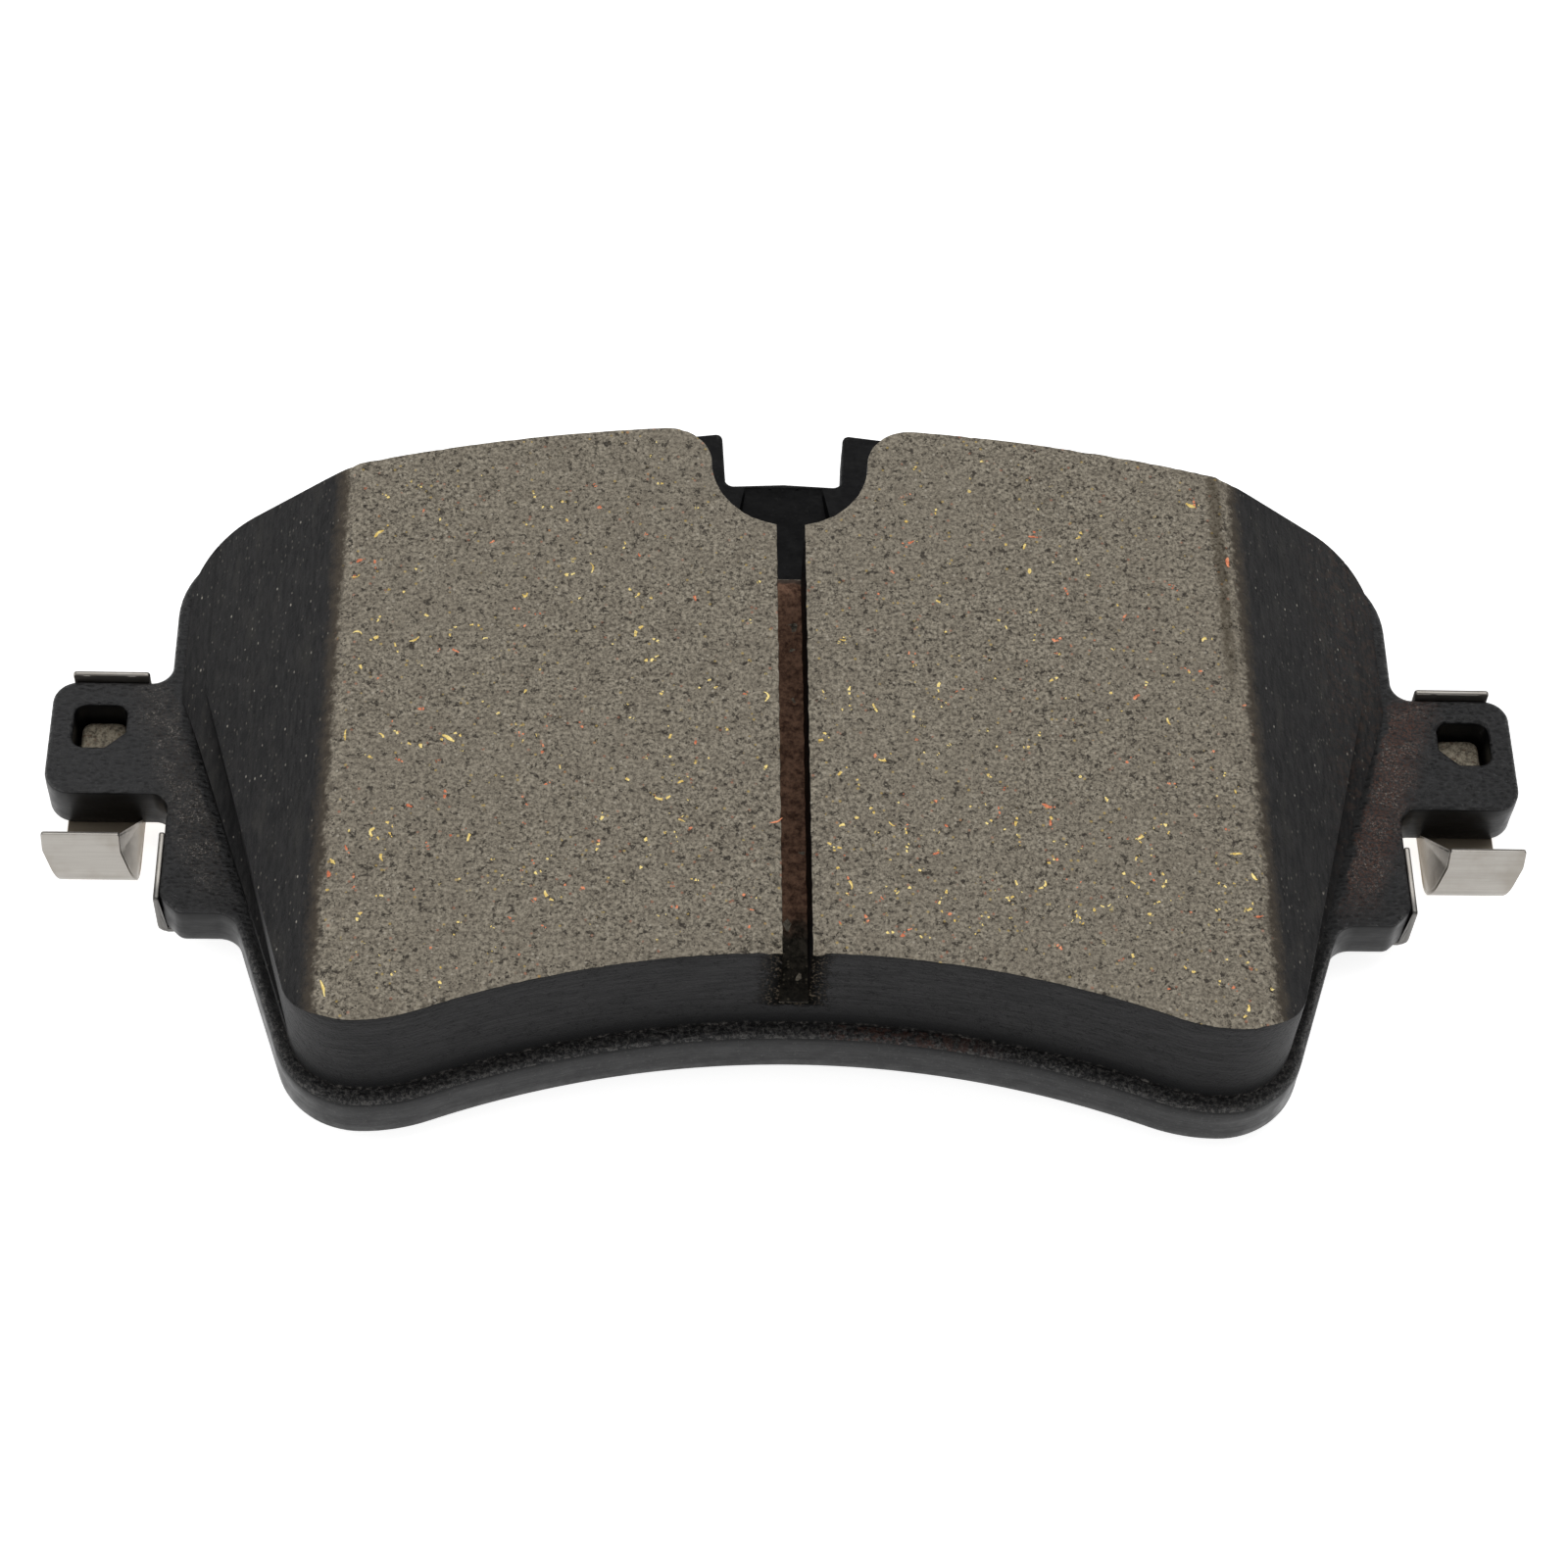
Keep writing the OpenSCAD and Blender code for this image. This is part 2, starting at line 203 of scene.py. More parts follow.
def resample(loop, step):
    """The loop with points no further apart than step."""
    out = []
    for i, p in enumerate(loop):
        q = loop[(i + 1) % len(loop)]
        d = math.dist(p, q)
        if d < 1e-4:
            continue
        k = max(1, math.ceil(d / step))
        out += [(p[0] + (q[0] - p[0]) * j / k, p[1] + (q[1] - p[1]) * j / k) for j in range(k)]
    return out


def normals(loop):
    """Outward normals of a loop that runs counter-clockwise round the solid."""
    out, n = [], len(loop)
    for i in range(n):
        a, b = Vector(loop[i - 1]), Vector(loop[(i + 1) % n])
        t = (b - a).normalized()
        out.append((t.y, -t.x))
    return out


def inset(loop, d):
    """The loop moved inwards by d."""
    return [(p[0] - n[0] * d, p[1] - n[1] * d) for p, n in zip(loop, normals(loop))]


def area(loop):
    """Signed area, positive when the loop runs counter-clockwise."""
    return sum(a[0] * b[1] - b[0] * a[1] for a, b in zip(loop, loop[1:] + loop[:1])) / 2


def inside(p, loop):
    """Whether p lies within the loop, by crossings of a ray along X."""
    hit = False
    for a, b in zip(loop, loop[1:] + loop[:1]):
        if (a[1] > p[1]) != (b[1] > p[1]):
            if p[0] < (b[0] - a[0]) * (p[1] - a[1]) / (b[1] - a[1]) + a[0]:
                hit = not hit
    return hit


def make(name, verts, faces, material, smooth_deg=35, body="pad", slot_name=None):
    """Object from points in millimetres, riding on a body and given its material; slot_name is not used."""
    mesh = bpy.data.meshes.new(name)
    mesh.from_pydata([Vector(v) * MM for v in verts], [], faces)
    mesh.validate()
    mesh.polygons.foreach_set("use_smooth", [True] * len(mesh.polygons))
    mesh.set_sharp_from_angle(angle=math.radians(smooth_deg))
    obj = bpy.data.objects.new(name, mesh)
    bpy.context.scene.collection.objects.link(obj)
    mesh.materials.append(material)
    if body:
        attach(obj, body)
    return obj


def slab(name, outer, holes, top, low, material, step=0.6, grid=1.4, round_top=0.3,
         round_low=0.0, features=(), rows=(), levels=6, wobble=0.0, soften=None, **kw):
    """A plate between two height functions, with rounded rims and walls of several rings.

    step is the spacing round the rims and grid the spacing across the top. features are extra
    closed lines in the top, rows are extra points, and soften lowers the top near its rims.
    """
    loops = [resample(outer if area(outer) > 0 else outer[::-1], step)]
    loops += [resample(h if area(h) < 0 else h[::-1], step * 0.5) for h in holes]
    verts, faces = [], []

    def thin(p, r):
        r = r(*p) if callable(r) else r
        return max(0.0, min(r, (top(*p) - low(*p)) / 2 - 0.01))

    def cap(inset, height, flip):
        """Top or bottom face as a fine triangle net; gives the rims' point numbers."""
        pts, edges, rings = [], [], []
        for loop in loops:
            base = len(pts)
            for p, n in zip(loop, normals(loop)):
                r = thin(p, inset)
                pts.append((p[0] - n[0] * r, p[1] - n[1] * r))
            k = len(loop)
            rings.append(list(range(base, base + k)))
            edges += [(base + i, base + (i + 1) % k) for i in range(k)]
        edge_pts = list(pts)
        # a second row close to the rim keeps the rounding's shading to the rim
        for loop in loops:
            for p, n in zip(loop[::2], normals(loop)[::2]):
                r = thin(p, inset) + 0.2
                pts.append((p[0] - n[0] * r, p[1] - n[1] * r))
        for f in features if not flip else ():
            base, k = len(pts), len(f)
            pts += f
            edges += [(base + i, base + (i + 1) % k) for i in range(k)]
        tree = kdtree.KDTree(len(pts))
        for i, p in enumerate(pts):
            tree.insert((p[0], p[1], 0), i)
        tree.balance()
        g = grid if not flip else 6
        lo = [min(p[i] for p in edge_pts) for i in (0, 1)]
        hi = [max(p[i] for p in edge_pts) for i in (0, 1)]
        inner = []
        rnd = random.Random(5)
        ny = int((hi[1] - lo[1]) / g) + 1
        nx = int((hi[0] - lo[0]) / g) + 1
        for j in range(ny):
            for i in range(nx):
                inner.append((lo[0] + (i + 0.5 * (j % 2) + rnd.uniform(-0.1, 0.1)) * g,
                              lo[1] + (j + rnd.uniform(-0.1, 0.1)) * g))
        inner += rows if not flip else []
        for p in inner:
            if tree.find((p[0], p[1], 0))[2] > min(0.45 * g, 0.5):
                if inside(p, loops[0]):
                    pts.append(p)
        res = geometry.delaunay_2d_cdt([Vector(p) for p in pts], edges, [], 0, 1e-5, True)
        back = {}
        for new, olds in enumerate(res[3]):
            for o in olds:
                back[o] = new
        base = len(verts)
        for v in res[0]:
            z = height(v.x, v.y)
            if soften and not flip:
                d = tree.find((v.x, v.y, 0))[2]
                z += soften(v.x, v.y, d)
            verts.append((v.x, v.y, z))
        ring_xy = [[(res[0][back[i]].x, res[0][back[i]].y) for i in r] for r in rings]
        for f in res[2]:
            c = [sum(res[0][i][a] for i in f) / len(f) for a in (0, 1)]
            if not inside(c, ring_xy[0]) or any(inside(c, h) for h in ring_xy[1:]):
                continue
            f = [base + i for i in f]
            faces.append(f[::-1] if flip else f)
        return [[base + back[i] for i in r] for r in rings]

    upper = cap(round_top, top, False)
    lower = cap(round_low, low, True)
    for k, loop in enumerate(loops):
        nrm = normals(loop)
        cols = []
        for i, (p, n) in enumerate(zip(loop, nrm)):
            rt, rl = thin(p, round_top), thin(p, round_low)
            zt = verts[upper[k][i]][2] - rt
            zl = verts[lower[k][i]][2] + rl
            col = [lower[k][i]]
            path = [(rl * (1 - math.sin(a)), zl - rl * math.cos(a))
                    for a in (math.radians(30), math.radians(60))] if round_low else []
            path += [(0.0, zl + (zt - zl) * j / levels)
                     for j in range(0 if round_low else 1, levels + (1 if round_top else 0))]
            path += [(rt * (1 - math.cos(a)), zt + rt * math.sin(a))
                     for a in (math.radians(30), math.radians(60))] if round_top else []
            for inset, z in path:
                t = clamp((z - zl) / (zt - zl)) if zt - zl > 0.05 else 0.0
                w = wobble * 4 * t * (1 - t) * noise.noise(Vector((p[0] * 0.35, p[1] * 0.35, z * 0.5)))
                col.append(len(verts))
                verts.append((p[0] - n[0] * (inset + w), p[1] - n[1] * (inset + w), z))
            col.append(upper[k][i])
            cols.append(col)
        for i in range(len(cols)):
            a, b = cols[i], cols[(i + 1) % len(cols)]
            for j in range(len(a) - 1):
                quad = [a[j], b[j], b[j + 1], a[j + 1]]
                if len(set(quad)) == 4:
                    faces.append(quad)
    return make(name, verts, faces, material, **kw)


# ---------------------------------------------------------------- materials
class Nodes:
    """Node tree of one material, in object coordinates of one millimetre."""

    def __init__(self, name):
        self.m = bpy.data.materials.new(name)
        self.m.use_nodes = True
        self.t = self.m.node_tree
        self.b = self.t.nodes["Principled BSDF"]
        coord = self.t.nodes.new("ShaderNodeTexCoord")
        scale = self.t.nodes.new("ShaderNodeVectorMath")
        scale.operation = "SCALE"
        scale.inputs["Scale"].default_value = 1000.0
        self.t.links.new(coord.outputs["Object"], scale.inputs[0])
        self.mm = scale.outputs[0]
        sep = self.t.nodes.new("ShaderNodeSeparateXYZ")
        self.t.links.new(self.mm, sep.inputs[0])
        self.x, self.y, self.z = sep.outputs
        geo = self.t.nodes.new("ShaderNodeNewGeometry")
        nsep = self.t.nodes.new("ShaderNodeSeparateXYZ")
        self.t.links.new(geo.outputs["True Normal"], nsep.inputs[0])
        self.nz = nsep.outputs[2]

    def put(self, value, socket):
        if isinstance(value, bpy.types.NodeSocket):
            self.t.links.new(value, socket)
        elif isinstance(value, (tuple, list)) and len(value) == 3 and len(socket.default_value) == 4:
            socket.default_value = (*value, 1)
        else:
            socket.default_value = value

    def math(self, op, a, b=0.0, c=0.0):
        n = self.t.nodes.new("ShaderNodeMath")
        n.operation = op
        for v, s in zip((a, b, c), n.inputs):
            self.put(v, s)
        return n.outputs[0]

    def times(self, a, b):
        return self.math("MULTIPLY", a, b)

    def step(self, v, lo, hi, out0=0.0, out1=1.0):
        """Smooth step of v from out0 at lo to out1 at hi."""
        n = self.t.nodes.new("ShaderNodeMapRange")
        n.interpolation_type = "SMOOTHSTEP"
        for val, key in ((v, "Value"), (lo, "From Min"), (hi, "From Max"),
                         (out0, "To Min"), (out1, "To Max")):
            self.put(val, n.inputs[key])
        return n.outputs[0]

    def stretch(self, sx, sy, sz):
        n = self.t.nodes.new("ShaderNodeMapping")
        n.inputs["Scale"].default_value = (sx, sy, sz)
        self.t.links.new(self.mm, n.inputs["Vector"])
        return n.outputs[0]

    def noise(self, scale, detail=2.0, rough=0.5, vector=None, dist=0.0):
        n = self.t.nodes.new("ShaderNodeTexNoise")
        self.put(vector or self.mm, n.inputs["Vector"])
        for key, v in (("Scale", scale), ("Detail", detail), ("Roughness", rough), ("Distortion", dist)):
            n.inputs[key].default_value = v
        return n.outputs["Fac"]

    def cells(self, scale, vector=None, feature="F1"):
        n = self.t.nodes.new("ShaderNodeTexVoronoi")
        n.feature = feature
        self.put(vector or self.mm, n.inputs["Vector"])
        n.inputs["Scale"].default_value = scale
        n.inputs["Randomness"].default_value = 1.0
        return n.outputs["Distance"], n.outputs.get("Color")

    def split(self, vector):
        n = self.t.nodes.new("ShaderNodeSeparateXYZ")
        self.put(vector, n.inputs[0])
        return n.outputs

    def mix(self, fac, a, b):
        n = self.t.nodes.new("ShaderNodeMix")
        n.data_type = "RGBA"
        self.put(fac, n.inputs[0])
        self.put(a, n.inputs[6])
        self.put(b, n.inputs[7])
        return n.outputs[2]

    def bump(self, height, depth_mm, strength=1.0, normal=None):
        n = self.t.nodes.new("ShaderNodeBump")
        self.put(height, n.inputs["Height"])
        n.inputs["Distance"].default_value = depth_mm * MM
        self.put(strength, n.inputs["Strength"])
        if normal:
            self.put(normal, n.inputs["Normal"])
        return n.outputs[0]

    def finish(self, **sockets):
        for key, v in sockets.items():
            self.put(v, self.b.inputs[key.replace("_", " ")])
        return self.m


def srgb(*levels):
    """Linear colour of three display levels from 0 to 255."""
    return tuple(c / 255 / 12.92 if c <= 10 else ((c / 255 + 0.055) / 1.055) ** 2.4 for c in levels)


def skin_colours(k):
    """Unground dark skin of the moulded lining: its bevels and its walls."""
    # bevels: streaks, pale specks, pits and a tan patch at the right end
    streak = k.noise(1.0, 4, 0.7, k.stretch(3.2, 0.5, 0.6))
    skin = k.mix(k.step(streak, 0.3, 0.7), srgb(24, 24, 25), srgb(46, 45, 45))
    fleck, tone = k.cells(2.6, k.stretch(1.3, 0.6, 0.7))
    pick = k.split(tone)
    speck = k.times(k.step(fleck, 0.34, 0.12), k.step(pick[0], 0.7, 0.86))
    bevel = k.mix(k.times(speck, 0.42), skin, srgb(128, 123, 114))
    bright = k.times(k.step(fleck, 0.3, 0.1), k.step(pick[1], 0.965, 0.985))
    bevel = k.mix(k.times(bright, 0.8), bevel, srgb(190, 184, 172))
    pit = k.step(k.noise(3.0, 3, 0.7), 0.62, 0.7)
    bevel = k.mix(k.times(pit, 0.7), bevel, srgb(14, 14, 14))
    ax = k.math("ABSOLUTE", k.x)
    tan = k.times(k.step(k.noise(1.3, 4, 0.75), 0.48, 0.62), k.step(k.x, 45.5, 50.5))
    broad = k.noise(1.0, 3, 0.6, k.stretch(0.7, 0.16, 0.2))
    bevel = k.mix(k.step(broad, 0.52, 0.72, 0, 0.4), bevel, srgb(62, 60, 56))
    bevel = k.mix(k.times(tan, 0.4), bevel, srgb(76, 58, 48))
    # walls: level rows left by the mould, darker towards the plate
    rows = k.noise(1.0, 4, 0.65, k.stretch(0.25, 0.25, 4.0))
    wall = k.mix(k.step(rows, 0.36, 0.66), srgb(4, 4, 5), srgb(33, 32, 33))
    wall = k.mix(k.step(k.z, 11.5, 6.8), wall, srgb(8, 8, 9))
    scuff = k.step(k.noise(1.0, 4, 0.7, k.stretch(0.35, 0.35, 1.6)), 0.62, 0.7)
    wall = k.mix(k.times(scuff, 0.5), wall, srgb(8, 8, 8))
    # crumbled edges of the slot where it runs out of the front wall
    near = k.times(k.step(ax, 4.4, 1.2), k.step(k.z, 8.6, 9.6))
    chip = k.step(k.math("ADD", k.noise(1.3, 4, 0.75), k.times(near, 0.3)), 0.62, 0.66)
    chip = k.times(chip, k.times(near, k.step(k.y, -21, -22)))
    crumb = k.mix(k.step(k.noise(3.2, 3, 0.8), 0.52, 0.64), srgb(12, 12, 11), srgb(78, 70, 60))
    wall = k.mix(chip, wall, crumb)
    upright = k.step(k.nz, 0.45, 0.3)
    return k.mix(upright, bevel, wall), upright, rows, chip


def friction_material():
    """Ground friction face in the middle, dark skin on the bevels and walls."""
    k = Nodes("friction")
    grain = k.noise(2.9, 4, 0.75)
    mid = k.noise(0.55, 3, 0.6)
    broad = k.noise(0.06, 2, 0.5)
    face = k.mix(k.step(grain, 0.3, 0.7), srgb(72, 67, 58), srgb(194, 184, 165))
    face = k.mix(k.step(mid, 0.35, 0.7, 0, 0.35), face, srgb(112, 103, 90))
    face = k.mix(k.step(broad, 0.3, 0.7, 0, 0.25), face, srgb(150, 141, 126))
    # dark blots and pepper, then pale, golden and red grains
    blot = k.noise(1.5, 3, 0.75)
    dark = k.step(blot, 0.575, 0.65)
    face = k.mix(k.times(dark, 0.8), face, srgb(48, 43, 38))
    pepper = k.step(k.noise(3.8, 3, 0.7), 0.6, 0.67)
    face = k.mix(k.times(pepper, 0.75), face, srgb(46, 41, 38))
    tiny, tone = k.cells(2.3)
    pick = k.split(tone)
    lit = k.times(k.step(tiny, 0.34, 0.2), k.step(pick[0], 0.9, 0.93))
    face = k.mix(k.times(lit, 0.7), face, srgb(198, 190, 174))
    gold = k.times(k.step(tiny, 0.36, 0.22), k.step(pick[1], 0.94, 0.96))
    face = k.mix(k.times(gold, 0.75), face, srgb(200, 172, 104))
    red = k.times(k.step(tiny, 0.42, 0.2), k.step(pick[2], 0.975, 0.985))
    face = k.mix(k.times(red, 0.6), face, srgb(188, 124, 96))
    # the face ends at the bevel in a ragged line
    skin, upright, rows, chip = skin_colours(k)
    ax = k.math("ABSOLUTE", k.x)
    edge = k.math("ADD", ax, k.times(k.math("SUBTRACT", k.noise(1.1, 4, 0.75), 0.5), 2.2))
    rim = k.mix(k.step(edge, 38.9, 39.8), face, srgb(74, 66, 56))
    rim = k.mix(k.step(edge, 39.6, 40.9), rim, skin)
    # a worn double line along the upper part of the right bevel
    line = k.times(k.step(edge, 37.3, 37.9), k.step(edge, 39.0, 38.4))
    line = k.times(line, k.times(k.step(k.x, 0, 1), k.step(k.y, 2, 9)))
    rim = k.mix(k.times(line, 0.6), rim, srgb(72, 62, 46))
    is_face = k.step(k.nz, 0.9, 0.97)
    colour = k.mix(k.step(ax, 41.6, 41.1), skin, k.mix(k.step(k.nz, 0.3, 0.5), skin, rim))
    pits = k.mix(is_face, k.noise(3.2, 3, 0.7), k.noise(2.6, 4, 0.8))
    smooth = k.times(k.math("SUBTRACT", 1.0, dark), 0.5)
    h = k.math("ADD", k.times(pits, 0.7), smooth)
    h = k.math("SUBTRACT", h, k.times(chip, 1.5))
    n1 = k.bump(h, 0.14, 0.9)
    n2 = k.bump(rows, 0.05, 0.6, n1)
    rough = k.step(upright, 0.0, 1.0, 0.82, 0.55)
    spec = k.times(k.step(upright, 0.0, 1.0, 0.3, 0.14), k.math("SUBTRACT", 1.0, chip))
    return k.finish(Base_Color=colour, Roughness=rough, Normal=n2, Specular_IOR_Level=spec)


def slot_floor_material():
    """Brown floor of the slot, grey with dust towards its mouth."""
    k = Nodes("slot_floor")
    n = k.noise(1.6, 4, 0.7)
    red = k.mix(k.step(n, 0.3, 0.7), srgb(92, 66, 53), srgb(178, 138, 114))
    dark = k.mix(k.step(n, 0.3, 0.7), srgb(34, 32, 27), srgb(88, 82, 72))
    dark = k.mix(k.step(k.y, -17.5, -20.5, 0, 0.6), dark, srgb(12, 12, 11))
    fleck, tone = k.cells(2.6)
    speck = k.times(k.step(fleck, 0.36, 0.16), k.step(k.split(tone)[0], 0.72, 0.86))
    dark = k.mix(k.times(speck, 0.6), dark, srgb(116, 108, 92))
    wav = k.times(k.math("SUBTRACT", k.noise(0.5, 3, 0.6), 0.5), 5.0)
    yy = k.math("ADD", k.y, wav)
    col = k.mix(k.step(yy, -13.0, -17.0), red, dark)
    band = k.step(k.y, 20.9, 21.2)
    col = k.mix(k.times(band, 0.8), col, srgb(74, 70, 66))
    upright = k.step(k.nz, 0.45, 0.3)
    rows = k.noise(1.0, 4, 0.65, k.stretch(0.25, 0.25, 4.0))
    wall = k.mix(k.step(rows, 0.3, 0.75), srgb(20, 20, 21), srgb(40, 39, 39))
    col = k.mix(upright, col, wall)
    nrm = k.bump(k.noise(2.5, 4, 0.8), 0.15, 0.9)
    return k.finish(Base_Color=col, Roughness=0.85, Normal=nrm, Specular_IOR_Level=0.15)


def underlayer_material():
    """The lining's skin, with plate paint along its foot."""
    k = Nodes("underlayer")
    skin, upright, rows, _ = skin_colours(k)
    low = k.times(upright, k.step(k.z, 6.7, 6.3))
    # black paint pulled up from the plate, with pale grit in it
    paint = k.mix(k.step(k.noise(2.2, 4, 0.8), 0.5, 0.64), srgb(6, 6, 6), srgb(88, 85, 82))
    col = k.mix(low, skin, paint)
    n1 = k.bump(k.noise(2.8, 4, 0.75), 0.12, 0.9)
    rough = k.step(upright, 0.0, 1.0, 0.82, 0.55)
    spec = k.step(upright, 0.0, 1.0, 0.3, 0.12)
    return k.finish(Base_Color=col, Roughness=rough, Normal=k.bump(rows, 0.05, 0.6, n1),
                    Specular_IOR_Level=spec)


def bond_material():
    k = Nodes("bond")
    n = k.noise(2.0, 3, 0.6)
    col = k.mix(k.step(n, 0.3, 0.7), srgb(14, 13, 12), srgb(30, 25, 21))
    return k.finish(Base_Color=col, Roughness=0.6, Normal=k.bump(n, 0.05, 0.5))


def plate_material():
    """Black powder coat: orange peel on top, smooth on the walls, matt at the fork."""
    k = Nodes("plate")
    wave = k.stretch(0.75, 1.35, 1.0)
    cell, _ = k.cells(2.1, wave, "SMOOTH_F1")
    fine = k.noise(3.2, 4, 0.7, wave)
    peel = k.math("ADD", cell, k.times(fine, 0.6))
    level = k.step(k.nz, 0.35, 0.6)
    # coarse, gritty paint round the inner edge
    inner = k.step(k.y, -12.5, -17.0)
    coarse = k.noise(2.4, 4, 0.85)
    peel = k.math("ADD", peel, k.times(inner, k.times(coarse, 2.0)))
    skin = k.step(k.math("ADD", cell, k.times(fine, 0.6)), 0.35, 0.95)
    top_col = k.mix(skin, srgb(15, 15, 16), srgb(37, 37, 38))
    top_col = k.mix(k.times(inner, k.step(coarse, 0.49, 0.58)), top_col, srgb(98, 96, 93))
    top_col = k.mix(k.times(inner, k.step(coarse, 0.45, 0.38)), top_col, srgb(7, 7, 7))
    glint = k.times(k.step(fine, 0.6, 0.68), 0.35)
    top_col = k.mix(glint, top_col, srgb(112, 112, 113))
    # a pale bloom of dust over the left ear
    bloom = k.step(k.math("ADD", k.x, k.noise(0.3, 3, 0.6)), -52, -58, 0, 0.4)
    top_col = k.mix(bloom, top_col, srgb(56, 56, 57))
    side = k.noise(1.0, 3, 0.6, k.stretch(0.3, 0.3, 1.6))
    side_col = k.mix(k.step(side, 0.3, 0.7), srgb(7, 7, 8), srgb(17, 17, 18))
    fork = k.step(k.y, 23, 25.5)
    col = k.mix(level, side_col, k.mix(k.times(fork, 0.75), top_col, srgb(19, 19, 20)))
    ax = k.math("ABSOLUTE", k.x)
    # distance outwards from the lining's slanting side
    off = k.math("SUBTRACT", ax, k.math("MULTIPLY_ADD", k.y, 0.3327, 51.0))
    # painted shadow along the foot of that side, where the lining's wall meets the plate
    foot_shadow = k.times(k.step(ax, 40, 44), k.step(k.y, 8, 4))
    foot_shadow = k.times(k.step(off, 0.55, 0.15), foot_shadow)
    col = k.mix(k.times(k.times(foot_shadow, level), 0.8), col, srgb(6, 6, 6))
    # rusty dust beside the lining, more of it on the right
    drift = k.math("ADD", off, k.times(k.math("SUBTRACT", k.noise(0.5, 3, 0.6), 0.5), 3.0))
    zone = k.times(k.step(drift, 0.1, 0.8), k.step(drift, 5.2, 2.2))
    zone = k.times(zone, k.times(k.step(k.y, -13, -6), k.step(k.y, 14, 9)))
    zone = k.times(zone, level)
    speck = k.step(k.noise(3.4, 4, 0.9), 0.47, 0.56)
    heavy = k.step(k.x, -1, 1, 0.4, 1.0)
    rust = k.mix(k.step(k.x, -1, 1), srgb(66, 56, 48), srgb(88, 56, 43))
    col = k.mix(k.times(k.times(speck, zone), heavy), col, rust)
    dots = k.noise(4.6, 4, 0.95, None, 0.6)
    white = k.step(dots, 0.565, 0.62)
    white = k.times(white, k.times(zone, k.step(k.noise(0.45, 2, 0.5), 0.4, 0.55)))
    col = k.mix(k.times(white, 0.6), col, srgb(206, 196, 184))
    # grit and a brown stain on the front margin
    grit = k.step(k.noise(3.4, 4, 0.8), 0.57, 0.66)
    front = k.times(k.step(k.y, -20.0, -22.0), k.step(off, 3.0, 0.0))
    front = k.times(front, k.step(level, 0.0, 1.0, 0.2, 1.0))
    col = k.mix(k.times(k.times(grit, front), 0.75), col, srgb(126, 123, 119))
    brown = k.times(k.step(k.x, 1.5, 4.5), k.step(k.x, 20, 12))
    brown = k.times(brown, k.times(level, k.step(k.y, -21.0, -22.4)))
    brown = k.times(brown, k.step(k.noise(1.6, 4, 0.7), 0.46, 0.58))
    col = k.mix(k.times(brown, 0.7), col, srgb(86, 54, 42))
    # painted highlight along the convex rims
    ptn = k.t.nodes.new("ShaderNodeNewGeometry").outputs["Pointiness"]
    rim_highlight = k.times(k.step(ptn, 0.53, 0.6), k.step(fine, 0.45, 0.65))
    col = k.mix(k.times(rim_highlight, 0.25), col, srgb(90, 88, 86))
    nrm = k.bump(peel, 0.24, k.math("SUBTRACT", 1.0, k.times(fork, 0.85)))
    flat = k.bump(side, 0.05, 0.6)
    n = k.t.nodes.new("ShaderNodeMix")
    n.data_type = "VECTOR"
    k.put(level, n.inputs[0])
    k.put(flat, n.inputs[4])
    k.put(nrm, n.inputs[5])
    rough = k.step(k.noise(0.8, 3, 0.6), 0.3, 0.7, 0.3, 0.45)
    rough = k.math("ADD", rough, k.times(fork, 0.35))
    spec = k.times(k.step(level, 0.0, 1.0, 0.22, 0.45), k.step(fork, 0.0, 1.0, 1.0, 0.4))
    return k.finish(Base_Color=col, Roughness=rough, Normal=n.outputs[1], Specular_IOR_Level=spec)


def steel_material(name="clip_steel", tint=(167, 163, 157)):
    """Rolled stainless strip, with the grain of the roll along X."""
    k = Nodes(name)
    lines = k.noise(1.0, 4, 0.6, k.stretch(0.12, 2.6, 2.6))
    cloud = k.noise(0.3, 3, 0.6)
    col = k.mix(k.step(lines, 0.3, 0.7), srgb(*[c - 14 for c in tint]), srgb(*tint))
    col = k.mix(k.step(cloud, 0.4, 0.7, 0, 0.35), col, srgb(126, 118, 106))
    # painted light: the strip turns beige and less metallic where it leaves the ear and lies in the ear's
    # shade
    film = k.times(k.step(k.z, 2.6, 1.2), k.step(k.y, -6.5, -4.0))
    col = k.mix(k.times(film, 0.8), col, srgb(158, 144, 124))
    # dark edge of the side leaf
    hem = k.times(k.step(k.y, -8.5, -10.2), k.step(k.math("ABSOLUTE", k.x), 57.0, 56.0))
    col = k.mix(k.times(hem, 0.8), col, srgb(88, 87, 86))
    rough = k.step(lines, 0.3, 0.7, 0.28, 0.4)
    # less metallic where the painted light lies
    metal = k.step(film, 0.0, 1.0, 0.92, 0.5)
    return k.finish(Base_Color=col, Metallic=metal, Roughness=rough,
                    Normal=k.bump(lines, 0.01, 0.4))


def fleck_material(name, a, b):
    k = Nodes(name)
    col = k.mix(k.step(k.noise(1.7, 3, 0.6), 0.35, 0.65), srgb(*a), srgb(*b))
    return k.finish(Base_Color=col, Metallic=0.75, Roughness=0.42,
                    Normal=k.bump(k.noise(5, 2, 0.5), 0.03, 0.6))


def rubber_material():
    k = Nodes("shim_rubber")
    n = k.noise(2.2, 4, 0.7)
    col = k.mix(k.step(n, 0.3, 0.7), srgb(28, 28, 29), srgb(46, 46, 47))
    wear = k.step(k.noise(0.12, 4, 0.65), 0.52, 0.66)
    col = k.mix(k.times(wear, 0.35), col, srgb(72, 71, 70))
    return k.finish(Base_Color=col, Roughness=0.68, Normal=k.bump(n, 0.04, 0.7))


def film_material(name, a, b):
    k = Nodes(name)
    n = k.noise(1.4, 3, 0.6)
    return k.finish(Base_Color=k.mix(k.step(n, 0.3, 0.7), srgb(*a), srgb(*b)),
                    Roughness=0.55, Normal=k.bump(n, 0.03, 0.5))


FRICTION = friction_material()
PLATE = plate_material()
STEEL = steel_material()

